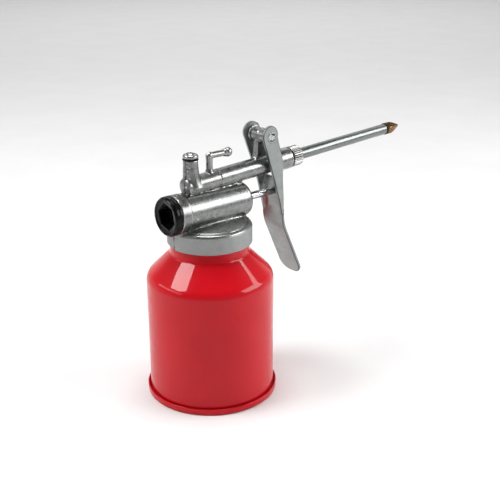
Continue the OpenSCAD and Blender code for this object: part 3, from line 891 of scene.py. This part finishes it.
def lever_field(p):
    """The pressed lever: a channel round the rod, and a sloping grip below it."""
    x, y, z = p[..., 0], np.abs(p[..., 1]), p[..., 2]
    # below the rod the web is pressed into a shallow dish
    low = np.clip((z - 80) / 17.5, 0, 1)
    dished = x - 1.9 * np.sin(math.pi * low) ** 2 * np.clip(1 - (y / LEVER_HALF) ** 2, 0, 1)
    lever = join(channel_field(x, dished, y, z), grip_field(dished, y, z), 0.25)
    hole = np.hypot(x - PIVOT[0], z - PIVOT[2]) - PIN_RADIUS
    return carve(lever, hole, 0.1)


def make_lever():
    """The lever, the hollow rivet it turns with, and the spacers beside the lug."""
    lever = mesh_field("squeeze_lever", lever_field, (27.4, -8.6, 50.6), (59.6, 8.6, 139.4), 0.27)
    finish(lever, "lever", "zinc_steel", "trigger_lever")

    lip, flange = 8.29, LEVER_HALF + 0.02
    profile = rounded([
        (-lip, 2.1, 0.1), (-lip, 2.75, 0.14), (-flange, 2.9, 0.1), (-LEVER_HALF, PIN_RADIUS),
        (LEVER_HALF, PIN_RADIUS), (flange, 2.9, 0.1), (lip, 2.75, 0.14), (lip, 2.1, 0.1)], 5)
    rivet = lathe("hollow_rivet", profile, PIVOT, Y, turns=64, closed=True)
    finish(rivet, "lever", "bright_plating", "pivot_rivet", look="rivet_plating_and_painted_reflection")

    for side, name in ((-1, "near"), (1, "far")):
        washer = lathe(f"pivot_washer_{name}", ring(5.05, 6.55, PIN_RADIUS + 0.02, 4.2, 0.3),
                       PIVOT, side * Y, turns=64, closed=True)
        finish(washer, "lever", "bright_plating", *(["pivot_washers"] if side < 0 else []))


# ---------------------------------------------------------------- the plunger

def make_plunger():
    """The rod and its piston, and the springs behind the piston and on the outlet ball."""
    rod_start, rod_tip = 11.7, 42.12
    rod_profile = rounded([(rod_start, 0), (rod_start, ROD_RADIUS), (rod_tip, ROD_RADIUS, 1.9),
                           (rod_tip, 0)], 10)
    finish(lathe("push_rod", rod_profile, on_barrel(), X, turns=64), "plunger", "bright_steel",
           "plunger_rod")
    wide, groove, hole = BORE_RADIUS - 0.05, 4.5, ROD_RADIUS + 0.01
    piston = rounded([(10.1, 0), (10.1, wide, 0.4), (12.9, wide, 0.1), (12.9, groove, 0.1),
                      (15.1, groove, 0.1), (15.1, wide, 0.1), (BUSH_BACK, wide, 0.4),
                      (BUSH_BACK, hole), (rod_start, hole), (rod_start, 0)], 4)
    finish(lathe("pump_piston", piston, on_barrel(), X, turns=96), "plunger", "brass", "piston")
    spring = coil("plunger_spring", on_barrel(-14.35), X, 4.7, 0.9, 24.4, 10)
    finish(spring, "head", "spring_steel", "return_spring")
    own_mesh(spring)
    # this spring stands on the ball, which rests on the edge of its port
    ball = 2.0
    foot = VALVE_SEAT + math.sqrt(ball ** 2 - PORT_RADIUS ** 2) + 2.05
    valve_spring = coil("valve_spring", on_valve(foot), Z, 1.5, 0.4, 120.45 - foot, 6, sides=10)
    finish(valve_spring, "head", "spring_steel", "outlet_spring")
    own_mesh(valve_spring)


# ---------------------------------------------------------------- the spout

def make_spout():
    """The flared pipe and the black rings at its two ends."""
    pipe = rounded([
        (43.6, 2.2, 0.2), (43.6, 3.85, 0.2), (45.1, 3.85, 0.3), (45.1, 3.1, 0.2), (60.3, 3.08),
        (60.5, 3.1), (PIPE_END, 3.0, 0.15), (PIPE_END, 2.2, 0.1)], 4)
    for name, profile, turns, slot, node in (
            ("spout_pipe", pipe, 72, "spout_steel", "spout_tube"),
            ("nut_seal", ring(TUBE_END, NUT_HEAD, 3.97, 5.6, 0.2), 72, "rubber", "outlet_seal"),
            ("tip_gasket", ring(PIPE_END, TIP_BACK, 2.22, 3.3, 0.3), 64, "rubber", "tip_seal")):
        piece = lathe(name, profile, on_tube(), TUBE, turns=turns, closed=True)
        finish(piece, "spout", slot, node)


def make_nut():
    """The spout's nut: a plain shank inside the boss, and a head with a straight knurl."""
    flutes, turns = 28, 28 * 12

    def knurl(depth):
        def radius(angle):
            phase = (angle * flutes / (2 * math.pi)) % 1
            groove = np.clip(1 - np.abs(phase - 0.5) * 3.2, 0, 1)
            return 5.5 - depth * groove * groove * (3 - 2 * groove)
        return radius

    start = NUT_HEAD
    head = [(start, 4.6), (start, 5.0), (start + 0.12, 5.2), (start + 0.3, grown(knurl(0.1), -0.1)),
            (start + 0.5, knurl(0.3)), (start + 0.75, knurl(0.42))]
    head += [(start + s, knurl(0.42)) for s in np.arange(1.2, 5.9, 0.6)]
    head += [(start + 6.0, knurl(0.36)), (start + 6.2, grown(knurl(0.24), -0.12)),
             (start + 6.45, grown(knurl(0.08), -0.36)), (start + 6.75, 4.75), (start + 6.88, 4.4),
             (start + 6.9, 3.6), (start + 6.75, 3.25), (start + 6.5, 3.15)]
    shank = [(45.2, 3.15), (45.2, 3.85), (start - 0.02, 3.85)]
    nut = lathe("knurled_nut", shank + head, on_tube(), TUBE, turns=turns, closed=True)
    finish(nut, "nut", "bright_plating", "spout_nut", look="nut_plating")


def make_tip():
    """Brass tip: six blunt facets at its back, then a turned cone to a small orifice."""
    base = TIP_BACK
    hexa = hexagon(6.6, math.radians(10), 0.975)
    facets = [(base, grown(hexa, -0.35)), (base + 0.18, grown(hexa, -0.1)), (base + 0.35, hexa),
              (base + 2.4, hexa)]
    facets += [(base + s, hexagon(across, math.radians(10), 0.95))
               for s, across in ((3.4, 6.3), (4.6, 5.75), (5.8, 5.0), (7.0, 4.15), (8.2, 3.2))]
    cone = rounded([(base + 9.3, 1.22), (base + 10.2, 0.9, 0.2),
                    (base + 10.6, 0.5, 0.1), (base + 2.0, 0.5),
                    (base + 2.0, 1.5), (123.0, 1.5), (122.8, 1.5), (122.8, 2.15, 0.2),
                    (base, 2.15)], 4)
    tip = lathe("brass_tip", facets + cone, on_tube(), TUBE, turns=120, closed=True)
    finish(tip, "spout", "tip_brass", "spout_tip")


def repaint_hidden():
    """The inner parts keep their CAD shapes."""
    for node, slot in {
            "neck_gasket": "rubber", "rod_bush": "brass", "rear_plug_seal": "rubber",
            "outlet_ball": "bright_steel", "inlet_seat": "brass", "inlet_ball": "bright_steel",
            "suction_tube": "clear_plastic", "suction_strainer": "brass",
            "piston_seal": "rubber", "spout_washer": "fibre"}.items():
        repaint(node, slot)


# ---------------------------------------------------------------- stage

def direction(azimuth, elevation):
    """The way from the object to a place round it; azimuth 0 is -Y, and 90 is +X."""
    a, e = math.radians(azimuth), math.radians(elevation)
    return Vector((math.sin(a) * math.cos(e), -math.cos(a) * math.cos(e), math.sin(e)))


MIDDLE = (0.01, 0, 0.09)    # the middle of the object, which the lights stand round
BACKDROP = 141              # the azimuth behind the object as the camera sees it


def panel(name, azimuth, elevation, distance, width, height, power, aim=MIDDLE):
    """A soft rectangular light that faces the object or another point."""
    light = bpy.data.lights.new(name, "AREA")
    light.shape = "RECTANGLE"
    light.size, light.size_y = width, height
    light.energy = power
    obj = bpy.data.objects.new(name, light)
    obj.location = Vector(MIDDLE) + direction(azimuth, elevation) * distance
    obj.rotation_euler = (Vector(aim) - obj.location).to_track_quat("-Z", "Y").to_euler()
    obj.visible_camera = False
    bpy.context.scene.collection.objects.link(obj)
    return obj


def make_stage():
    """A pale floor, soft lights round the object, and a grey world brighter at the back."""
    mesh = bpy.data.meshes.new("floor")
    size = 6.0
    mesh.from_pydata([(-size, -size, 0), (size, -size, 0), (size, size, 0), (-size, size, 0)], [],
                     [(0, 1, 2, 3)])
    floor = bpy.data.objects.new("floor", mesh)
    floor.data.materials.append(floor_material())
    bpy.context.scene.collection.objects.link(floor)

    # azimuth, elevation, distance, width, height and power
    panel("softbox_left", -118, 49, 0.95, 0.42, 0.30, 5.6)
    panel("strip_left", -120, 26, 0.95, 0.90, 0.16, 1.6)
    panel("softbox_right", 47, 25, 0.95, 0.72, 0.42, 6.4)
    panel("strip_right", 67, 40, 0.95, 0.06, 0.14, 0.3)
    panel("backdrop_light", BACKDROP, 33, 2.1, 2.4, 1.4, 20.0, aim=direction(BACKDROP, 0) * 2.0)
    panel("front_fill", -30, 25, 1.4, 1.2, 0.9, 0.1)
    panel("overhead", 150, 87, 1.1, 0.60, 0.50, 7.6)

    world = bpy.data.worlds.new("studio")
    bpy.context.scene.world = world
    world.use_nodes = True
    nodes, links = world.node_tree.nodes, world.node_tree.links
    back = nodes["Background"]
    place = nodes.new("ShaderNodeTexCoord")
    split = nodes.new("ShaderNodeSeparateXYZ")
    ramp = nodes.new("ShaderNodeValToRGB")
    stops = [(0.0, 1.0), (0.12, 0.8), (0.3, 0.25), (1.0, 0.1)]
    while len(ramp.color_ramp.elements) < len(stops):
        ramp.color_ramp.elements.new(0.5)
    for element, (position, grey) in zip(ramp.color_ramp.elements, stops):
        element.position = position
        element.color = (grey, grey, grey, 1)
    links.new(place.outputs["Generated"], split.inputs["Vector"])
    links.new(split.outputs["Z"], ramp.inputs["Fac"])
    facing = nodes.new("ShaderNodeVectorMath")
    facing.operation = "DOT_PRODUCT"
    facing.inputs[1].default_value = direction(BACKDROP, 0)
    links.new(place.outputs["Generated"], facing.inputs[0])
    behind = nodes.new("ShaderNodeMapRange")
    behind.interpolation_type = "SMOOTHSTEP"
    for key, number in (("From Min", -0.7), ("From Max", 0.5), ("To Min", 0.5), ("To Max", 0.9)):
        behind.inputs[key].default_value = number
    links.new(facing.outputs["Value"], behind.inputs["Value"])
    links.new(behind.outputs["Result"], back.inputs["Strength"])
    links.new(ramp.outputs["Color"], back.inputs["Color"])
    bpy.context.scene.view_settings.view_transform = "Standard"


def make_camera():
    """The photograph's viewing angle, on a plain lens with no shift."""
    place, lens = Vector((-0.2577, -0.3453, 0.2437)), 64.6
    turn, pitch, roll = math.radians(-39.49), math.radians(21.13), math.radians(-0.16)
    ahead = Vector((-math.sin(turn) * math.cos(pitch), math.cos(turn) * math.cos(pitch),
                    -math.sin(pitch)))
    right = Vector((math.cos(turn), math.sin(turn), 0))
    up = right.cross(ahead)
    right, up = (right * math.cos(roll) + up * math.sin(roll),
                 up * math.cos(roll) - right * math.sin(roll))
    data = bpy.data.cameras.new("camera")
    data.sensor_width = 36
    data.lens = lens
    data.clip_start = 0.01
    camera = bpy.data.objects.new("camera", data)
    matrix = Matrix((right, up, -ahead)).transposed().to_4x4()
    matrix.translation = place
    camera.matrix_world = matrix
    bpy.context.scene.collection.objects.link(camera)
    bpy.context.scene.camera = camera


make_can()
make_head()
make_plug()
make_cap()
make_lever()
make_plunger()
make_spout()
make_nut()
make_tip()
repaint_hidden()
make_stage()
make_camera()
